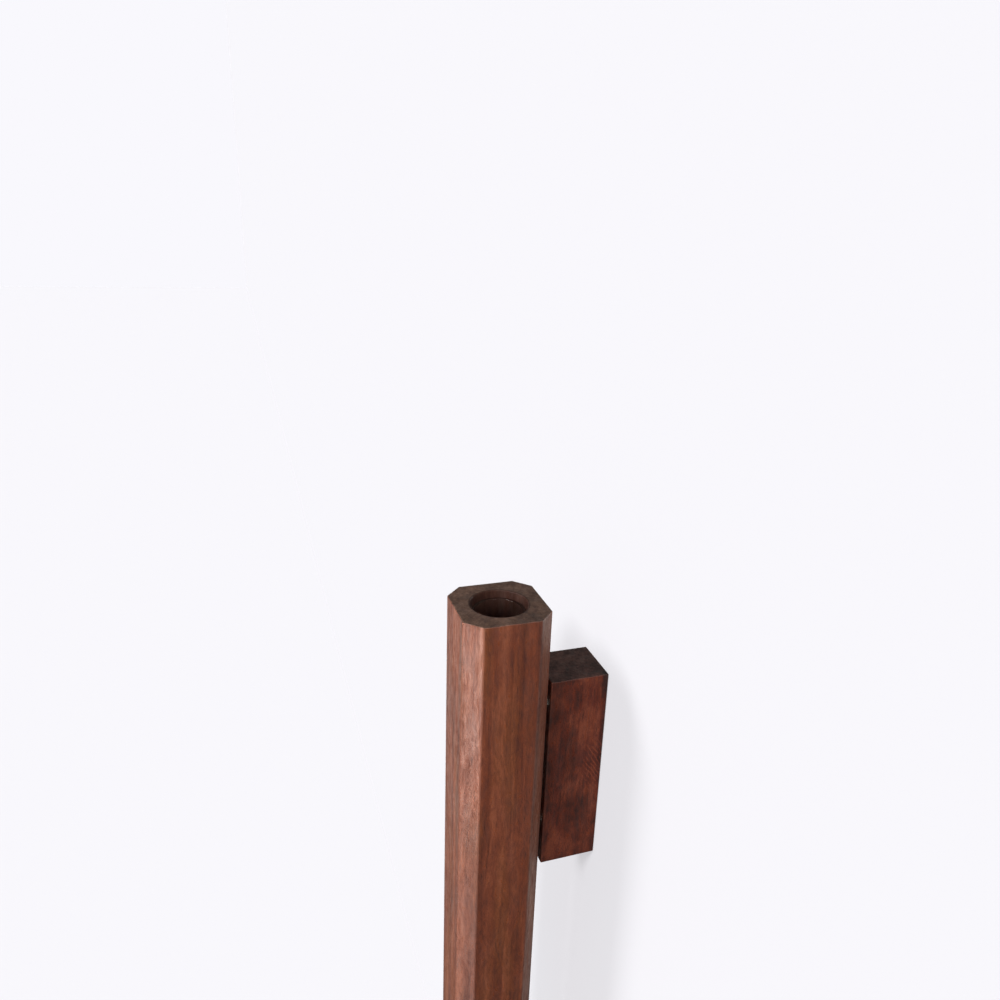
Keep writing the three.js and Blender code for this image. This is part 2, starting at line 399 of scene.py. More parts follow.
def growth_rings(graph, grain, wood):
    """Darkness of the late wood in rings round the pith, with no two rings alike."""
    from_pith = graph.shifted(grain, [-value / MM for value in wood.pith])
    years = graph.off_axis(from_pith) / (wood.ring_spacing / MM)
    uneven = graph.node(
        "ShaderNodeTexNoise", {"noise_dimensions": "1D"}, {"W": years * 0.45, "Scale": 1.0}
    )
    years = years + centred(uneven) * 1.6
    year = graph.maths("FLOOR", years)
    season = years - year
    late = graph.step(season, 0.15, 0.9) * (1 - graph.step(season, 0.93, 1.0))
    chance = graph.node("ShaderNodeTexWhiteNoise", {"noise_dimensions": "1D"}, {"W": year})
    return late * (0.15 + 0.85 * chance * chance)


def heart_streaks(graph, grain):
    """Broad soft streaks where the heartwood is darker, and thin dark lines inside them."""
    broad = graph.noise(grain, (0.11, 0.11, 0.004), 4.0, 0.6)
    thin = graph.noise(grain, (0.5, 0.5, 0.006), 2.0)
    return centred(broad), graph.step(thin, 0.60, 0.74)


def long_fibres(graph, grain):
    """Fine upright streaks, broken so that none runs the whole length."""
    return centred(graph.noise(grain, (0.6, 0.6, 0.07), 7.0, 0.62))


def open_pores(graph, grain, density, width):
    """Walnut's open pores: short dark dashes along the grain and dots on the end grain."""
    settings = {"feature": "F1", "distance": "EUCLIDEAN"}
    along = density * 0.13
    inputs = {"Vector": graph.scaled(grain, (density, density, along)), "Scale": 1.0}
    distance = graph.node("ShaderNodeTexVoronoi", settings, inputs, "Distance")
    crowding = graph.step(graph.noise(grain, (0.3, 0.3, 0.03)), 0.3, 0.7)
    reach = density * width / 2
    return (1 - graph.step(distance, reach * 0.5, reach * 1.2)) * (0.3 + 0.7 * crowding)


def cut_flecks(graph, grain):
    """Patches a few millimetres long where the cut fibres lean and catch the light."""
    lean = drift(graph, grain, (0.05, 0.05, 0.03), 2.0, (5, 5, 5))
    leaning = graph.shifted(graph.scaled(grain, (0.46, 0.46, 0.14)), lean)
    return centred(graph.noise(leaning, None, 5.0, 0.62))


def slow_clouds(graph, place):
    """Light and dark clouds a few centimetres across."""
    return centred(graph.noise(place, (0.07, 0.07, 0.045), 5.0, 0.76))


def cross_figure(graph, place, centre, reach):
    """Light and dark ripples that lean across the grain, strongest round one place."""
    depth, height = graph.axes(place)[1:]
    sway = graph.noise(place, (0.10, 0.10, 0.07))
    phase = (height + 1.5 * depth) * 1.6 + sway * 9
    crest = graph.step(graph.maths("SINE", phase), 0.1, 1.0) - 0.3
    uneven = graph.step(graph.noise(place, (0.3, 0.3, 0.3)), 0.35, 0.6)
    return crest * uneven * patch(graph, place, centre, reach)


def uneven_oil(graph, grain):
    """Gloss of the oil, which soaked in less in some places than in others."""
    soaked = graph.noise(grain, (0.14, 0.14, 0.03), 4.0, 0.6)
    return (0.08 + centred(soaked) * 2.6).at_least(0).at_most(1)


def end_grain(graph):
    """1 where the wood is cut across, 0 on its long faces."""
    normal = graph.node("ShaderNodeTexCoord", output="Normal")
    return graph.step(abs(graph.axes(normal)[2]), 0.55, 0.9)


def worn_arris(graph):
    """1 on the rounded edges, where no flat face looks squarely along or between the axes."""
    x, y, z = graph.axes(graph.node("ShaderNodeTexCoord", output="Normal"))
    unlike = x * x - y * y
    crosswise = x * x * y * y * unlike * unlike * 64
    upright = z * z * (1 - z * z) * 4
    return graph.step(crosswise + upright, 0.15, 0.9)


class WoodGrain:
    """What a piece of walnut shows, as the signals that its colour, gloss and bump share."""

    def __init__(self, graph, wood):
        self.place = graph.millimetres()
        self.grain = wandering(graph, self.place)
        self.late = growth_rings(graph, self.grain, wood)
        self.broad, self.lines = heart_streaks(graph, self.grain)
        self.fibres = long_fibres(graph, self.grain)
        small_pores = open_pores(graph, self.grain, density=1.3, width=0.28)
        large_pores = open_pores(graph, self.grain, density=0.42, width=0.75)
        self.pores = small_pores.at_least(large_pores)
        self.flecks = cut_flecks(graph, self.grain)
        self.cloud = slow_clouds(graph, self.place)
        self.end = end_grain(graph)
        self.worn = worn_arris(graph)


def wood_darkness(graph, shown, wood, patches, figure):
    """0 is the lightest early wood and 1 the darkest late wood."""
    darkness = 0.36 + shown.late * 0.24 + shown.broad * 1.5 + shown.lines * 0.28
    # Flecks where the cut fibres lean lighten the colour: painted sheen, besides their real gloss
    # and bump
    darkness = darkness + shown.fibres * 0.44 - shown.flecks * 1.45 * wood.fleck_sheen
    darkness = darkness + shown.cloud * 2.6 * wood.cloudiness
    for centre, reach, amount in patches:
        darkness = darkness + patch(graph, shown.place, centre, reach) * amount
    if figure:
        darkness = darkness - cross_figure(graph, shown.place, *figure) * wood.figure
    return darkness


def long_face_colour(graph, shown, wood, darkness):
    """The colour along the grain, with warmer stretches and dark pores."""
    plain = graph.ramp(darkness, ((0.0, wood.light), (0.45, wood.middle), (1.0, wood.dark)))
    warm = graph.ramp(darkness, ((0.0, wood.light), (0.45, wood.warm), (1.0, wood.dark)))
    stretches = graph.noise(shown.grain, (0.09, 0.09, 0.012))
    face = graph.blend(graph.step(stretches, 0.42, 0.68) * 0.55, plain, warm)
    return graph.blend(shown.pores * 0.6, face, opaque(wood.dark, 0.4))


def cut_and_worn(graph, shown, wood, face):
    """The long faces' colour, changed on the end grain and a little drier on the edges."""
    end = graph.node("ShaderNodeHueSaturation", None, {
        "Hue": wood.end_hue, "Saturation": 0.68, "Value": wood.end_shade, "Color": face,
    })
    dry = [0.6 * value + 0.12 for value in wood.light]
    return graph.blend(shown.worn * 0.12, graph.blend(shown.end, face, end), opaque(dry))


def walnut(name, wood, patches, figure=None, bore=None):
    """Oiled walnut, sawn from beside the pith so that one grain runs through every face."""
    material, graph = new_material(name)
    shown = WoodGrain(graph, wood)
    darkness = wood_darkness(graph, shown, wood, patches, figure)
    face = long_face_colour(graph, shown, wood, darkness)
    colour = cut_and_worn(graph, shown, wood, face)
    rough = 0.42 + shown.fibres * 0.3 - shown.flecks * 0.95 + shown.pores * 0.15
    rough = rough + shown.end * 0.14 + shown.worn * 0.15
    if bore:
        # Painted shade: the bore's wall is darkened towards the dark wood, as shade deep in the
        # hole, and made rougher
        inside = painted_bore_shade(graph, shown.place, *bore)
        colour = graph.blend(inside * 0.8, colour, opaque(wood.dark, 0.3))
        rough = rough + inside * 0.25
    height = shown.fibres * 0.4 + shown.flecks * 2.7 - shown.pores * 0.7 - shown.late * 0.06
    graph.principled({
        "Base Color": colour,
        "Roughness": rough.at_least(0.25).at_most(0.85),
        "Specular IOR Level": 0.4,
        "Coat Weight": uneven_oil(graph, shown.grain),
        "Coat Roughness": 0.42,
        "Normal": graph.bump(height, distance=0.14 * MM, strength=0.6),
    })
    return material


def plated_metal(name, colour, roughness, brushing):
    """Plated steel with a fine random brushing and faint stains."""
    material, graph = new_material(name)
    place = graph.millimetres()
    scratches = graph.noise(place, brushing, 4.0, 0.6)
    stains = graph.noise(place, (0.35, 0.35, 0.35), 3.0)
    stained_and_shaded = graph.step(stains, 0.4, 0.75) * 0.5
    graph.principled({
        "Base Color": graph.blend(stained_and_shaded, opaque(colour), opaque(colour, 0.78)),
        "Metallic": 1.0,
        "Roughness": roughness + centred(scratches) * 0.22 + centred(stains) * 0.12,
        "Normal": graph.bump(scratches, distance=0.02 * MM, strength=0.4),
    })
    return material


def clear_glass(name, colour):
    """Laboratory glass with the faint waves of a drawn tube."""
    material, graph = new_material(name)
    place = graph.millimetres()
    waves = graph.noise(place, (0.18, 0.18, 0.03), 1.0)
    graph.principled({
        "Base Color": opaque(colour),
        "Roughness": 0.02,
        "IOR": 1.47,
        "Transmission Weight": 1.0,
        "Alpha": 0.6,
        "Normal": graph.bump(waves, distance=0.3 * MM, strength=0.25),
    })
    return material


def pressed_felt(name, colour):
    """Matted wool felt."""
    material, graph = new_material(name)
    place = graph.millimetres()
    fuzz = graph.noise(place, (3.2, 3.2, 3.2), 6.0, 0.75)
    raised = graph.step(fuzz, 0.35, 0.75)
    graph.principled({
        "Base Color": graph.blend(raised, opaque(colour), opaque(colour, 1.9)),
        "Roughness": 0.95,
        "Sheen Weight": 0.4,
        "Specular IOR Level": 0.2,
        "Normal": graph.bump(fuzz, distance=0.4 * MM, strength=0.8),
    })
    return material


def join_rings(body, lower, upper):
    """Faces between two rings of vertices, either of which may be a single point."""
    count = max(len(lower), len(upper))
    for step in range(count):
        after = (step + 1) % count
        corners = [lower[step % len(lower)], lower[after % len(lower)]]
        corners += [upper[after % len(upper)], upper[step % len(upper)]]
        corners = list(dict.fromkeys(corners))
        if len(corners) > 2:
            body.faces.new(corners)


def ring_of(body, radius, height, facets):
    """One ring of vertices. The radius may be a number or a function of the angle."""
    if not callable(radius) and radius < ON_AXIS:
        return [body.verts.new((0, 0, height))]
    ring = []
    for step in range(facets):
        angle = math.tau * step / facets
        reach = radius(angle) if callable(radius) else radius
        ring.append(body.verts.new((reach * math.cos(angle), reach * math.sin(angle), height)))
    return ring


def turned(profile, facets=PLAIN_FACETS, closed=False):
    """Turns radius and height pairs about Z into one closed body."""
    body = bmesh.new()
    rings = [ring_of(body, radius, height, facets) for radius, height in profile]
    pairs = list(zip(rings, rings[1:]))
    if closed:
        pairs.append((rings[-1], rings[0]))
    for lower, upper in pairs:
        join_rings(body, lower, upper)
    bmesh.ops.recalc_face_normals(body, faces=body.faces)
    return body


def cylinder(radius, bottom, top):
    return turned([(0, bottom), (radius, bottom), (radius, top), (0, top)])


def arc(radius, centre, start, end, steps=ARC_STEPS):
    """Points of an arc in a profile, with its angles in degrees up from the horizontal."""
    points = []
    for step in range(steps + 1):
        angle = math.radians(start + (end - start) * step / steps)
        across = centre[0] + radius * math.cos(angle)
        points.append((max(across, 0), centre[1] + radius * math.sin(angle)))
    return points


def prism(outline, bottom, top, rounding=0):
    """An upright body of the given outline. A rounding rounds all its edges."""
    body = bmesh.new()
    lower = [body.verts.new((x, y, bottom)) for x, y in outline]
    upper = [body.verts.new((x, y, top)) for x, y in outline]
    body.faces.new(lower[::-1])
    body.faces.new(upper)
    join_rings(body, lower, upper)
    bmesh.ops.recalc_face_normals(body, faces=body.faces)
    if rounding:
        bmesh.ops.bevel(
            body, geom=body.edges[:], offset=rounding, segments=EDGE_STEPS, profile=0.5,
            affect="EDGES",
        )
    return body


def post_outline(half, leg):
    """A square post's outline with its corners planed off."""
    cut = half - leg
    return [
        (half, -cut), (half, cut), (cut, half), (-cut, half),
        (-half, cut), (-half, -cut), (-cut, -half), (cut, -half),
    ]


def box_outline(half_width, half_depth):
    return [
        (half_width, -half_depth), (half_width, half_depth),
        (-half_width, half_depth), (-half_width, -half_depth),
    ]


def bar_outline(width, length):
    """A straight bar with round ends, long in Y."""
    radius = width / 2
    reach = length / 2 - radius
    steps = PLAIN_FACETS // 2
    outline = []
    for side, start in ((1, 0), (-1, math.pi)):
        for step in range(steps + 1):
            angle = start + math.pi * step / steps
            outline.append((radius * math.cos(angle), side * reach + radius * math.sin(angle)))
    return outline


def make(name, body, place):
    """Puts a body into the scene as a piece whose place is in its mesh."""
    body.transform(place)
    mesh = bpy.data.meshes.new(name)
    body.to_mesh(mesh)
    body.free()
    piece = bpy.data.objects.new(name, mesh)
    bpy.context.collection.objects.link(piece)
    return piece


def bake_modifiers(piece):
    """Turns a piece's modifiers into plain mesh."""
    scene_state = bpy.context.evaluated_depsgraph_get()
    mesh = bpy.data.meshes.new_from_object(piece.evaluated_get(scene_state))
    piece.modifiers.clear()
    piece.data = mesh


def carve(piece, tools):
    """Cuts the tool bodies out of a piece and removes them."""
    for tool in tools:
        modifier = piece.modifiers.new(tool.name, "BOOLEAN")
        modifier.object = tool
        modifier.operation = "DIFFERENCE"
        modifier.solver = "EXACT"
    bake_modifiers(piece)
    for tool in tools:
        bpy.data.objects.remove(tool)


def soften(piece, angle=35):
    """Shades rounded edges smoothly while flat faces stay flat."""
    piece.data.shade_smooth()
    piece.data.set_sharp_from_angle(angle=math.radians(angle))
    modifier = piece.modifiers.new("even_normals", "WEIGHTED_NORMAL")
    modifier.keep_sharp = True
    bake_modifiers(piece)


def finish_piece(piece, body, node, material):
    """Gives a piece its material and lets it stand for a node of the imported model."""
    piece.data.materials.clear()
    piece.data.materials.append(material)
    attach(piece, body)
    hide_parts(node)


def middle_of(node):
    low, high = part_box(node)
    return (low + high) / 2


def upright_place(node):
    """Carries a body that is made round Z to its node. Heights are the frame's own."""
    centre = middle_of(node)
    return Matrix.Translation((centre.x, centre.y, 0))


def round_size(node):
    """Radius of a round piece, and its length along Y."""
    low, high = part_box(node)
    return (high.x - low.x) / 2, high.y - low.y


def seat(node, facing, depth):
    centre = middle_of(node)
    return Matrix.Translation((centre.x, depth, centre.z)) @ TURNS[facing]


def base_seat(node, facing):
    """Where a fitting's base sits, at the end of its box that it faces away from."""
    low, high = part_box(node)
    return seat(node, facing, low.y if facing == "wall" else high.y)


def head_seat(node, facing):
    """Where the top of a screw's head lies, at the end of its box that it faces."""
    low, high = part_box(node)
    return seat(node, facing, high.y if facing == "wall" else low.y)


def plate_screws(level):
    """The two screws of one keyhole plate."""
    return [f"{level}_plate_{end}_screw" for end in LEVELS]


def pocket_tool(node, facing):
    """The body that bores a round fitting's pocket."""
    radius, depth = round_size(node)
    pocket = cylinder(radius + FIT_GAP, 0, depth + CUT_OVER)
    return make("pocket_tool", pocket, base_seat(node, facing))


def hole_tool(screw, shank, facing):
    """The body that drills and countersinks a screw's hole."""
    head, length = round_size(screw)
    head += FIT_GAP
    neck = shank / 2 + FIT_GAP
    bottom = -length - FIT_GAP
    profile = [
        (0, bottom), (neck, bottom), (neck, -HEAD_RIM - head + neck),
        (head, -HEAD_RIM), (head, CUT_OVER), (0, CUT_OVER),
    ]
    return make("hole_tool", turned(profile, SCREW_FACETS), head_seat(screw, facing))


def screwed_disc(name, node, screw, shank, facing, edge):
    """A flat disc with a rounded rim, countersunk for the screw that holds it."""
    radius, thickness = round_size(node)
    profile = [(0, 0), (radius, 0)]
    profile += arc(edge, (radius - edge, thickness - edge), 0, 90)
    profile += [(0, thickness)]
    disc = make(name, turned(profile), base_seat(node, facing))
    carve(disc, [hole_tool(screw, shank, facing)])
    soften(disc)
    return disc


def thread_radius(core, height, depth):
    """Radius of a right-hand thread at one height, as a function of the angle."""
    def radius(angle):
        turn = (height / THREAD_PITCH - angle / math.tau) % 1
        return core + depth * max(0, 1 - abs(2 * turn - 1) * THREAD_STEEPNESS)
    return radius


def screw_body(node, shank):
    """A countersunk wood screw with its thread, before the cross is pressed into its head."""
    head, length = round_size(node)
    radius = shank / 2
    core = radius - THREAD_DEPTH
    neck = -(HEAD_RIM + head - radius)
    tip_length = shank
    steps = math.ceil((length + neck) / THREAD_PITCH * RINGS_PER_TURN)
    body = bmesh.new()
    rings = [ring_of(body, 0, -length, SCREW_FACETS)]
    for step in range(1, steps):
        height = -length + (length + neck) * step / steps
        taper = min(1, (height + length) / tip_length)
        runout = min(1, max(0, (neck - height) / THREAD_PITCH))
        form = thread_radius(core * taper, height, THREAD_DEPTH * taper * runout)
        rings.append(ring_of(body, form, height, SCREW_FACETS))
    for across, height in (
        (radius, neck), (head, -HEAD_RIM), (head, -HEAD_EDGE), (head - HEAD_EDGE, 0), (0, 0),
    ):
        rings.append(ring_of(body, across, height, SCREW_FACETS))
    for lower, upper in zip(rings, rings[1:]):
        join_rings(body, lower, upper)
    bmesh.ops.recalc_face_normals(body, faces=body.faces)
    return body


def recess_tools(head, place):
    """Two tapered blades that press the cross into a screw's head of the given radius."""
    reach = head * RECESS_REACH
    half_width = head * RECESS_HALF_WIDTH
    narrow_x, narrow_y = RECESS_FLOOR
    blades = []
    for turn in (0, math.pi / 2):
        blade = bmesh.new()
        top = [(reach, half_width), (-reach, half_width)]
        outline = top + [(-x, -y) for x, y in top]
        upper = [blade.verts.new((x, y, CUT_OVER)) for x, y in outline]
        bottom = -head * RECESS_DEPTH
        lower = [blade.verts.new((x * narrow_x, y * narrow_y, bottom)) for x, y in outline]
        blade.faces.new(upper)
        blade.faces.new(lower[::-1])
        join_rings(blade, lower, upper)
        bmesh.ops.recalc_face_normals(blade, faces=blade.faces)
        blades.append(make("recess_tool", blade, place @ Matrix.Rotation(turn, 4, "Z")))
    return blades


class WALLVASE_OT_stage(bpy.types.Operator):
    """Build the pale wall and floor, the lamps and the camera"""

    bl_idname = "wall_vase.stage"
    bl_label = "Stage"

    # Where the lamps that cast the backdrop's shadows shine from, and how soft they are
    SHADOWS_FROM = (
        Vector((-0.49, -1.0, 0.97)).normalized(),
        Vector((0.6, -1.0, 1.15)).normalized(),
    )
    SHADOW_BLUR = math.radians(16)
    # The way to the room's pale side in reflections, and how bright it and the rest look
    PALE_SIDE = Vector((-0.89, 0.30, 0)).normalized()
    PALE_ROOM = 0.55
    DARK_ROOM = 0.08
    # Share of the backdrop's colour that the lamps light; the rest glows evenly
    PAPER = 0.3
    # The wall stands just behind the block, so that the two don't lie in one plane
    WALL_GAP = 0.2 * MM
    FLOOR_LEVEL = -0.75
    CORNERS = ((-12, -12), (12, -12), (12, 12), (-12, 12))
    # What the lamps look at, and the colour of their light
    TARGET = Vector((0, -0.06, 0.03))
    LAMP_COLOUR = (1, 0.98, 0.93)
    # Name, direction, distance, width and height of each soft lamp
    SOFTBOXES = (
        ("key", (0.28, -0.88, 0.39), 0.6, 0.4, 0.5),
        ("low", (0.30, -0.87, -0.42), 0.75, 0.3, 0.45),
        ("side", (0.94, -0.05, 0.33), 1.2, 0.5, 0.5),
        ("floor", (0.16, -0.49, -0.81), 0.9, 0.4, 0.4),
        ("wall", (-0.25, 0.95, 0.06), 1.2, 0.8, 0.4),
    )

    def execute(self, context):
        look = context.scene.wall_vase_stage
        context.scene.view_settings.view_transform = "Standard"
        self.light_room(context, look)
        backdrops = [self.add_wall(context, look), self.add_floor(context, look)]
        self.add_lamps(context, look, backdrops)
        self.add_camera(context, look)
        return {"FINISHED"}

    def light_room(self, context, look):
        """Even light for the object, and the backdrop's colour for the camera and reflections."""
        world = bpy.data.worlds.new("room")
        world.use_nodes = True
        context.scene.world = world
        graph = Graph(world.node_tree)
        camera, gloss, glass = [
            graph.node("ShaderNodeLightPath", output=f"Is {kind} Ray")
            for kind in ("Camera", "Glossy", "Transmission")
        ]
        seen = camera.at_least(glass)
        strength = seen + (1 - seen) * self.reflected_room(graph)
        lamp = opaque(self.LAMP_COLOUR)
        colour = graph.blend(seen, lamp, opaque(look.backdrop))
        shown = graph.node("ShaderNodeBackground", None, {"Color": colour, "Strength": strength})
        even = {"Color": lamp, "Strength": look.room_level}
        room = graph.node("ShaderNodeBackground", None, even)
        shows = seen.at_least(gloss)
        mixed = graph.node("ShaderNodeMixShader", None, {0: shows, 1: room, 2: shown})
        graph.node("ShaderNodeOutputWorld", None, {"Surface": mixed})

    def reflected_room(self, graph):
        """Brightness of the room in reflections, by where the reflected ray goes."""
        direction = graph.node("ShaderNodeTexCoord", output="Generated")
        depth, height = graph.axes(direction)[1:]
        pale_side = graph.step(graph.dot(direction, self.PALE_SIDE), -0.35, 0.5)
        above_floor = graph.step(height, -0.84, -0.52)
        below_ceiling = 1 - graph.step(height, -0.1, 0.45)
        pale_band = below_ceiling * (0.1 + 0.9 * above_floor)
        pale_wall = graph.step(depth, 0.4, 0.85)
        pale = (pale_side * pale_band).at_least(pale_wall)
        return self.DARK_ROOM + (self.PALE_ROOM - self.DARK_ROOM) * pale

    def backdrop_material(self, name, look, facing):
        """A pale surface, seen from one side, that is the backdrop's colour where it is lit."""
        material, graph = new_material(name)
        lit = look.room_level
        for way in self.SHADOWS_FROM:
            lit += self.lamp_level(look, way) * max(0, way.dot(facing))
        glow = graph.node(
            "ShaderNodeEmission", None,
            {"Color": opaque(look.backdrop), "Strength": 1 - lit * self.PAPER},
        )
        paper = opaque(look.backdrop, self.PAPER)
        matte = graph.node("ShaderNodeBsdfDiffuse", None, {"Color": paper})
        front = graph.node("ShaderNodeAddShader", None, {0: glow, 1: matte})
        clear = graph.node("ShaderNodeBsdfTransparent")
        back = graph.node("ShaderNodeNewGeometry", output="Backfacing")
        surface = graph.node("ShaderNodeMixShader", None, {0: back, 1: front, 2: clear})
        graph.node("ShaderNodeOutputMaterial", None, {"Surface": surface})
        return material

    def lamp_level(self, look, way):
        """Level at which a shadow lamp takes the asked share of the wall's brightness away."""
        return look.shadow_share / self.PAPER / -way.y

    def add_backdrop(self, context, look, name, corners, facing):
        mesh = bpy.data.meshes.new(name)
        mesh.from_pydata(corners, [], [(0, 1, 2, 3)])
        mesh.materials.append(self.backdrop_material(f"{name}_paint", look, facing))
        piece = bpy.data.objects.new(name, mesh)
        context.collection.objects.link(piece)
        piece.visible_diffuse = False
        piece.visible_glossy = False
        piece.visible_transmission = False
        piece.visible_shadow = False
        return piece

    def add_wall(self, context, look):
        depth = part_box("wall_block")[1].y + self.WALL_GAP
        corners = [(x, depth, z) for x, z in self.CORNERS]
        return self.add_backdrop(context, look, "wall", corners, Vector((0, -1, 0)))

    def add_floor(self, context, look):
        corners = [(x, y, self.FLOOR_LEVEL) for x, y in self.CORNERS]
        return self.add_backdrop(context, look, "floor", corners, Vector((0, 0, 1)))

    def add_lamps(self, context, look, backdrops):
        """Softboxes that light the object alone, and shadow lamps for the backdrop alone."""
        softboxes = [self.add_softbox(context, look, *softbox) for softbox in self.SOFTBOXES]
        unlit = self.group("not_lit_by_softboxes", backdrops)
        for linked in unlit.collection_objects:
            linked.light_linking.link_state = "EXCLUDE"
        for lamp in softboxes:
            lamp.light_linking.receiver_collection = unlit

        lit = self.group("lit_by_shadow_lamps", backdrops)
        for way in self.SHADOWS_FROM:
            lamp = self.add_shadow_lamp(context, look, way)
            lamp.light_linking.receiver_collection = lit

    def group(self, name, pieces):
        collection = bpy.data.collections.new(name)
        for piece in pieces:
            collection.objects.link(piece)
        return collection

    def add_softbox(self, context, look, name, direction, distance, width, height):
        """A soft lamp that lights a facing surface at its level in the stage's settings."""
        light = bpy.data.lights.new(f"{name}_lamp", "AREA")
        light.shape = "RECTANGLE"
        light.size = width
        light.size_y = height
        light.color = self.LAMP_COLOUR
        light.energy = getattr(look, f"{name}_level") * math.pi**2 * distance**2
        lamp = self.aim(context, light, Vector(direction).normalized(), distance)
        lamp.visible_transmission = False
        return lamp

    def add_shadow_lamp(self, context, look, way):
        sun = bpy.data.lights.new("shadow_lamp", "SUN")
        sun.energy = math.pi * self.lamp_level(look, way)
        sun.angle = self.SHADOW_BLUR
        return self.aim(context, sun, way, distance=1)

    def aim(self, context, light, way, distance):
        """Puts a lamp into the scene, looking back at the vase from the given way."""
        lamp = bpy.data.objects.new(light.name, light)
        context.collection.objects.link(lamp)
        lamp.location = self.TARGET + way * distance
        lamp.rotation_mode = "QUATERNION"
        lamp.rotation_quaternion = way.to_track_quat("Z", "Y")
        return lamp

    def add_camera(self, context, look):
        data = bpy.data.cameras.new("camera")
        data.sensor_width = 36
        data.lens = look.lens
        data.clip_start = 0.01
        data.clip_end = 100
        camera = bpy.data.objects.new("camera", data)
        context.collection.objects.link(camera)
        turn, rise = look.azimuth, look.elevation
        back = Vector((
            math.sin(turn) * math.cos(rise), -math.cos(turn) * math.cos(rise), math.sin(rise),
        ))
        upright = back.to_track_quat("Z", "Y").to_matrix().to_4x4()
        camera.matrix_world = (
            Matrix.Translation(look.place) @ upright @ Matrix.Rotation(look.roll, 4, "Z")
        )
        context.scene.camera = camera


class WALLVASE_OT_column(bpy.types.Operator):
    """Build the octagonal walnut column with its bore and the pockets for the steel discs"""

    bl_idname = "wall_vase.column"
    bl_label = "Walnut Column"

    def execute(self, context):
        sizes = context.scene.wall_vase_sizes
        low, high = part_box("vase_body")
        outline = post_outline((high.x - low.x) / 2, sizes.corner_leg)
        place = upright_place("vase_body")
        column = make("walnut_column", prism(outline, low.z, high.z, sizes.edge_round), place)
        tools = [make("bore_tool", self.bore(high.z, sizes.mouth_round), place)]
        for level in LEVELS:
            tools.append(pocket_tool(f"{level}_strike_disc", "wall"))
            tools.append(hole_tool(f"{level}_strike_screw", STRIKE_SHANK, "wall"))
        carve(column, tools)
        soften(column)
        wood = context.scene.wall_vase_column_wood
        bands = self.bands(low, high, sizes.corner_leg)
        # How far the bore's painted shade reaches from the column's axis, in millimetres
        stained_and_shaded = (self.bore_radius() + BORE_SHADE_MARGIN) / MM
        bore = (middle_of("vase_body") / MM, stained_and_shaded)
        material = walnut("column_walnut", wood, bands, bore=bore)
        finish_piece(column, "vase", "vase_body", material)
        return {"FINISHED"}

    def bands(self, low, high, corner_leg):
        """Places and reaches, in millimetres, and shades of the bands along the grain."""
        front = high.x / MM
        side = low.y / MM
        edge = side + corner_leg / MM
        length = (high.z - low.z) / MM
        return (
            ((front, edge + 7, 20), (12, 9, length), 0.12),
            ((front, edge + 17, -60), (12, 6, length / 3), -0.18),
            ((front, edge + 29, -20), (12, 10, length), 0.20),
            ((12, side, 0), (5, 6, length), 0.15),
            ((2, side, 38), (20, 6, 44), 0.2),
            ((-4, side, -95), (14, 6, 36), 0.18),
        )

    def bore_radius(self):
        return round_size("tube_cushion")[0] + CUSHION_CLEARANCE

    def bore(self, top, rounding):
        """The body that bores the column down to the cushion and rounds the bore's top edge."""
        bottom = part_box("tube_cushion")[0].z
        radius = self.bore_radius()
        wide = radius + rounding
        profile = [(0, bottom), (radius, bottom)]
        profile += arc(rounding, (wide, top - rounding), 180, 90)
        profile += [(wide, top + CUT_OVER), (0, top + CUT_OVER)]
        return turned(profile, FINE_FACETS)


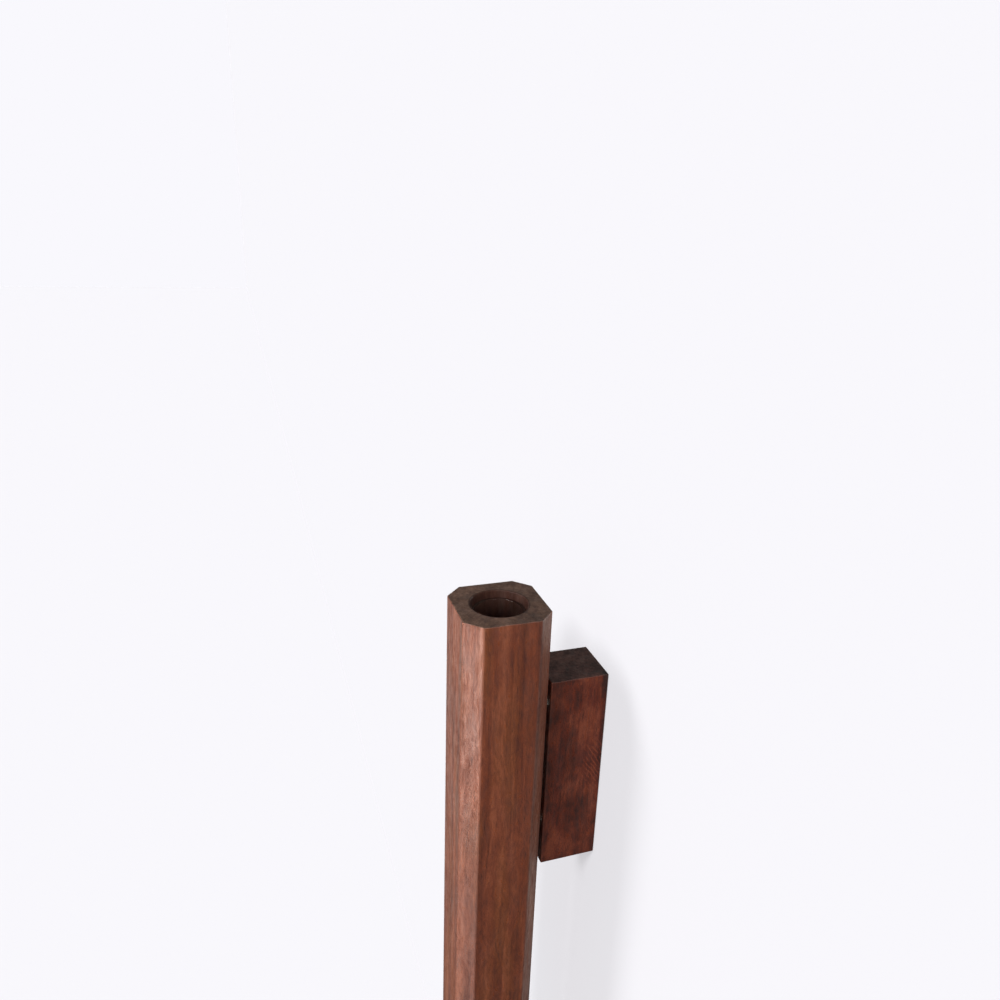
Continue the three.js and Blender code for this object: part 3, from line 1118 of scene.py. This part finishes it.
class WALLVASE_OT_block(bpy.types.Operator):
    """Build the walnut wall block with the pockets for its magnets and hanger plates"""

    bl_idname = "wall_vase.block"
    bl_label = "Wall Block"

    def execute(self, context):
        low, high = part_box("wall_block")
        outline = box_outline((high.x - low.x) / 2, (high.y - low.y) / 2)
        edge_round = context.scene.wall_vase_sizes.edge_round
        body = prism(outline, low.z, high.z, edge_round)
        block = make("walnut_block", body, upright_place("wall_block"))
        tools = []
        for level in LEVELS:
            tools.append(pocket_tool(f"{level}_magnet_cup", "room"))
            tools.append(hole_tool(f"{level}_magnet_screw", MAGNET_SHANK, "room"))
            tools += self.plate_tools(level)
        carve(block, tools)
        soften(block)
        wood = context.scene.wall_vase_block_wood
        material = walnut("block_walnut", wood, self.patches(low, high), self.figure(high))
        finish_piece(block, "wall_part", "wall_block", material)
        return {"FINISHED"}

    def patches(self, low, high):
        """Places and reaches, in millimetres, and shades of the block's darker and lighter
        patches: in part the wood's own clouds, in part painted shade beside the column.
        """
        front = high.x / MM
        near = low.y / MM
        return (
            ((front, near + 26, 40), (30, 11, 34), -0.12),
            ((front, near + 24, 2), (30, 12, 24), -0.16),
            ((front, near + 34, -12), (20, 8, 28), -0.24),
            ((front, near + 19, 28), (20, 7, 16), -0.16),
            ((front, near + 35, 60), (20, 7, 16), 0.30),
            # Painted shade: a long darker band beside the column, where the column shades the
            # block
            ((front, near + 6, 12), (30, 9, 48), 0.20),
            ((front, near + 14, 2), (20, 6, 14), 0.12),
            ((front, near + 18, -28), (24, 14, 18), 0.32),
            ((front, near + 8, -52), (24, 9, 16), -0.15),
        )

    def figure(self, high):
        """Place and reach, in millimetres, of the cross ripples near the wall face."""
        return (high.x / MM, high.y / MM - 4, 4), (26, 12, 24)

    def plate_tools(self, level):
        """Bodies that cut a keyhole plate's recess, the room for a hanging head, and holes."""
        node = f"{level}_keyhole_plate"
        low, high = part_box(node)
        width = high.x - low.x + 2 * FIT_GAP
        length = high.z - low.z + 2 * FIT_GAP
        thickness = high.y - low.y
        place = base_seat(node, "wall")
        recess = prism(bar_outline(width, length), 0, thickness + CUT_OVER)
        room_outline = bar_outline(HEAD_ROOM_WIDTH, KEYHOLE_TRAVEL + HEAD_ROOM_WIDTH)
        head_room = prism(room_outline, -HEAD_ROOM_DEPTH, thickness / 2)
        tools = [make("recess_tool", recess, place), make("head_room_tool", head_room, place)]
        return tools + [hole_tool(screw, PLATE_SHANK, "wall") for screw in plate_screws(level)]


class WALLVASE_OT_tube(bpy.types.Operator):
    """Build the round-bottomed glass tube with its melted rim"""

    bl_idname = "wall_vase.tube"
    bl_label = "Glass Tube"

    def execute(self, context):
        profile = self.section(context.scene.wall_vase_sizes.glass_wall)
        tube = make("test_tube", turned(profile, FINE_FACETS), upright_place("glass_tube"))
        tube.data.shade_smooth()
        tube.visible_shadow = False
        material = clear_glass("tube_glass", context.scene.wall_vase_fittings.glass)
        finish_piece(tube, "tube", "glass_tube", material)
        return {"FINISHED"}

    def section(self, wall):
        """The glass in section: up the outside, over the rim's bead and down the inside."""
        low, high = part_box("glass_tube")
        radius = (high.x - low.x) / 2
        bowl = (0, low.z + radius)
        lip = wall / 2
        bead = 0.35 * MM
        outside = arc(radius, bowl, -90, 0, BOWL_STEPS)
        rim = arc(lip, (radius - lip, high.z - lip), 0, 90)
        inner_rim = arc(lip + bead, (radius - lip, high.z - lip - bead), 90, 180)
        under_bead = (radius - wall, high.z - 2 * wall)
        inside = arc(radius - wall, bowl, 0, -90, BOWL_STEPS)
        return outside + rim[:-1] + inner_rim + [under_bead] + inside


class WALLVASE_OT_cushion(bpy.types.Operator):
    """Build the felt disc under the tube"""

    bl_idname = "wall_vase.cushion"
    bl_label = "Felt Cushion"

    def execute(self, context):
        low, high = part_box("tube_cushion")
        radius = (high.x - low.x) / 2
        edge = 0.6 * MM
        rings = 14
        flat = [((radius - edge) * step / rings, high.z) for step in range(rings, -1, -1)]
        profile = [(0, low.z), (radius - edge, low.z)]
        profile += arc(edge, (radius - edge, low.z + edge), -90, 0)[1:]
        profile += arc(edge, (radius - edge, high.z - edge), 0, 90)[:-1]
        body = turned(profile + flat)
        lump_size = 1.3 * MM
        lump_depth = 0.12 * MM
        for corner in body.verts:
            lump = noise.noise(corner.co / lump_size)
            if corner.co.z > low.z + edge:
                corner.co.z -= lump_depth * (1 + lump)
        cushion = make("felt_disc", body, upright_place("tube_cushion"))
        cushion.data.shade_smooth()
        material = pressed_felt("cushion_felt", context.scene.wall_vase_fittings.felt)
        finish_piece(cushion, "vase", "tube_cushion", material)
        return {"FINISHED"}


class WALLVASE_OT_magnets(bpy.types.Operator):
    """Build the pot magnets in the block: a steel cup and a ring magnet each"""

    bl_idname = "wall_vase.magnets"
    bl_label = "Pot Magnets"

    def execute(self, context):
        look = context.scene.wall_vase_fittings
        nickel = plated_metal("cup_nickel", look.nickel, roughness=0.24, brushing=(6, 6, 0.8))
        plate = plated_metal("magnet_plate", look.magnet, roughness=0.3, brushing=(1.5, 1.5, 1.5))
        for level in LEVELS:
            cup = self.cup(level)
            finish_piece(cup, "wall_part", f"{level}_magnet_cup", nickel)
            node = f"{level}_magnet_ring"
            screw = f"{level}_magnet_screw"
            ring = screwed_disc(
                f"{level}_ring_magnet", node, screw, MAGNET_SHANK, "room", edge=0.3 * MM
            )
            finish_piece(ring, "wall_part", node, plate)
        return {"FINISHED"}

    def cup(self, level):
        node = f"{level}_magnet_cup"
        outer, height = round_size(node)
        inner = outer - CUP_WALL
        hole = MAGNET_SHANK / 2 + FIT_GAP
        bend = 0.8 * MM
        edge = 0.25 * MM
        profile = [(hole, 0)]
        profile += arc(bend, (outer - bend, bend), -90, 0)
        profile += arc(edge, (outer - edge, height - edge), 0, 90)
        profile += arc(edge, (inner + edge, height - edge), 90, 180)
        profile += [(inner, CUP_BASE), (hole, CUP_BASE)]
        cup = make(f"{level}_steel_cup", turned(profile, closed=True), base_seat(node, "room"))
        soften(cup)
        return cup


class WALLVASE_OT_strikes(bpy.types.Operator):
    """Build the steel discs in the column that the magnets hold"""

    bl_idname = "wall_vase.strikes"
    bl_label = "Strike Discs"

    def execute(self, context):
        look = context.scene.wall_vase_fittings
        nickel = plated_metal("disc_nickel", look.nickel, roughness=0.28, brushing=(0.8, 0.8, 6))
        for level in LEVELS:
            node = f"{level}_strike_disc"
            screw = f"{level}_strike_screw"
            disc = screwed_disc(
                f"{level}_steel_disc", node, screw, STRIKE_SHANK, "wall", edge=0.4 * MM
            )
            finish_piece(disc, "vase", node, nickel)
        return {"FINISHED"}


class WALLVASE_OT_plates(bpy.types.Operator):
    """Build the keyhole hanger plates in the block's wall face"""

    bl_idname = "wall_vase.plates"
    bl_label = "Keyhole Plates"

    def execute(self, context):
        look = context.scene.wall_vase_fittings
        zinc = plated_metal("plate_zinc", look.zinc, roughness=0.36, brushing=(5, 5, 0.5))
        for level in LEVELS:
            plate = self.plate(level)
            finish_piece(plate, "wall_part", f"{level}_keyhole_plate", zinc)
        return {"FINISHED"}

    def plate(self, level):
        node = f"{level}_keyhole_plate"
        low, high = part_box(node)
        thickness = high.y - low.y
        place = base_seat(node, "wall")
        outline = bar_outline(high.x - low.x, high.z - low.z)
        plate = make(f"{level}_hanger", prism(outline, 0, thickness), place)
        bottom = -CUT_OVER
        top = thickness + CUT_OVER
        entry = cylinder(KEYHOLE_ENTRY / 2, bottom, top)
        entry_place = place @ Matrix.Translation((0, -KEYHOLE_TRAVEL / 2, 0))
        slot = prism(bar_outline(KEYHOLE_SLOT, KEYHOLE_TRAVEL + KEYHOLE_SLOT), bottom, top)
        tools = [make("entry_tool", entry, entry_place), make("slot_tool", slot, place)]
        tools += [hole_tool(screw, PLATE_SHANK, "wall") for screw in plate_screws(level)]
        carve(plate, tools)
        rounding = plate.modifiers.new("rounding", "BEVEL")
        rounding.width = 0.2 * MM
        rounding.segments = 2
        rounding.limit_method = "ANGLE"
        rounding.angle_limit = math.radians(40)
        bake_modifiers(plate)
        soften(plate)
        return plate


class WALLVASE_OT_screws(bpy.types.Operator):
    """Build the countersunk wood screws"""

    bl_idname = "wall_vase.screws"
    bl_label = "Wood Screws"

    def execute(self, context):
        look = context.scene.wall_vase_fittings
        material = plated_metal("screw_zinc", look.screw, roughness=0.34, brushing=(3, 3, 3))
        for level in LEVELS:
            self.add(f"{level}_magnet_screw", MAGNET_SHANK, "wall_part", "room", material)
            self.add(f"{level}_strike_screw", STRIKE_SHANK, "vase", "wall", material)
            for screw in plate_screws(level):
                self.add(screw, PLATE_SHANK, "wall_part", "wall", material)
        return {"FINISHED"}

    def add(self, node, shank, body, facing, material):
        place = head_seat(node, facing)
        screw = make(node.replace("screw", "wood_screw"), screw_body(node, shank), place)
        carve(screw, recess_tools(round_size(node)[0], place))
        soften(screw, angle=50)
        finish_piece(screw, body, node, material)


class WALLVASE_PT_panel(bpy.types.Panel):
    """Lists the vase's pieces"""

    bl_idname = "WALLVASE_PT_panel"
    bl_label = "Wall Vase"
    bl_space_type = "VIEW_3D"
    bl_region_type = "UI"
    bl_category = "Wall Vase"

    def draw(self, context):
        for operator in OPERATORS:
            self.layout.operator(operator.bl_idname)
        for group in SETTINGS:
            settings = getattr(context.scene, group)
            box = self.layout.box()
            for name in settings.__annotations__:
                box.prop(settings, name)


OPERATORS = (
    WALLVASE_OT_stage,
    WALLVASE_OT_column,
    WALLVASE_OT_block,
    WALLVASE_OT_tube,
    WALLVASE_OT_cushion,
    WALLVASE_OT_magnets,
    WALLVASE_OT_strikes,
    WALLVASE_OT_plates,
    WALLVASE_OT_screws,
)
SETTINGS = {
    "wall_vase_stage": StageLook,
    "wall_vase_sizes": VaseSizes,
    "wall_vase_column_wood": VaseWood,
    "wall_vase_block_wood": BlockWood,
    "wall_vase_fittings": FittingFinish,
}


def register():
    for group in SETTINGS.values():
        bpy.utils.register_class(group)
    for name, group in SETTINGS.items():
        setattr(bpy.types.Scene, name, PointerProperty(type=group))
    for operator in OPERATORS:
        bpy.utils.register_class(operator)
    bpy.utils.register_class(WALLVASE_PT_panel)


def unregister():
    bpy.utils.unregister_class(WALLVASE_PT_panel)
    for operator in reversed(OPERATORS):
        bpy.utils.unregister_class(operator)
    for name, group in SETTINGS.items():
        delattr(bpy.types.Scene, name)
        bpy.utils.unregister_class(group)


def main():
    register()
    bpy.ops.wall_vase.stage()
    bpy.ops.wall_vase.column()
    bpy.ops.wall_vase.block()
    bpy.ops.wall_vase.tube()
    bpy.ops.wall_vase.cushion()
    bpy.ops.wall_vase.magnets()
    bpy.ops.wall_vase.strikes()
    bpy.ops.wall_vase.plates()
    bpy.ops.wall_vase.screws()


if __name__ == "__main__":
    main()
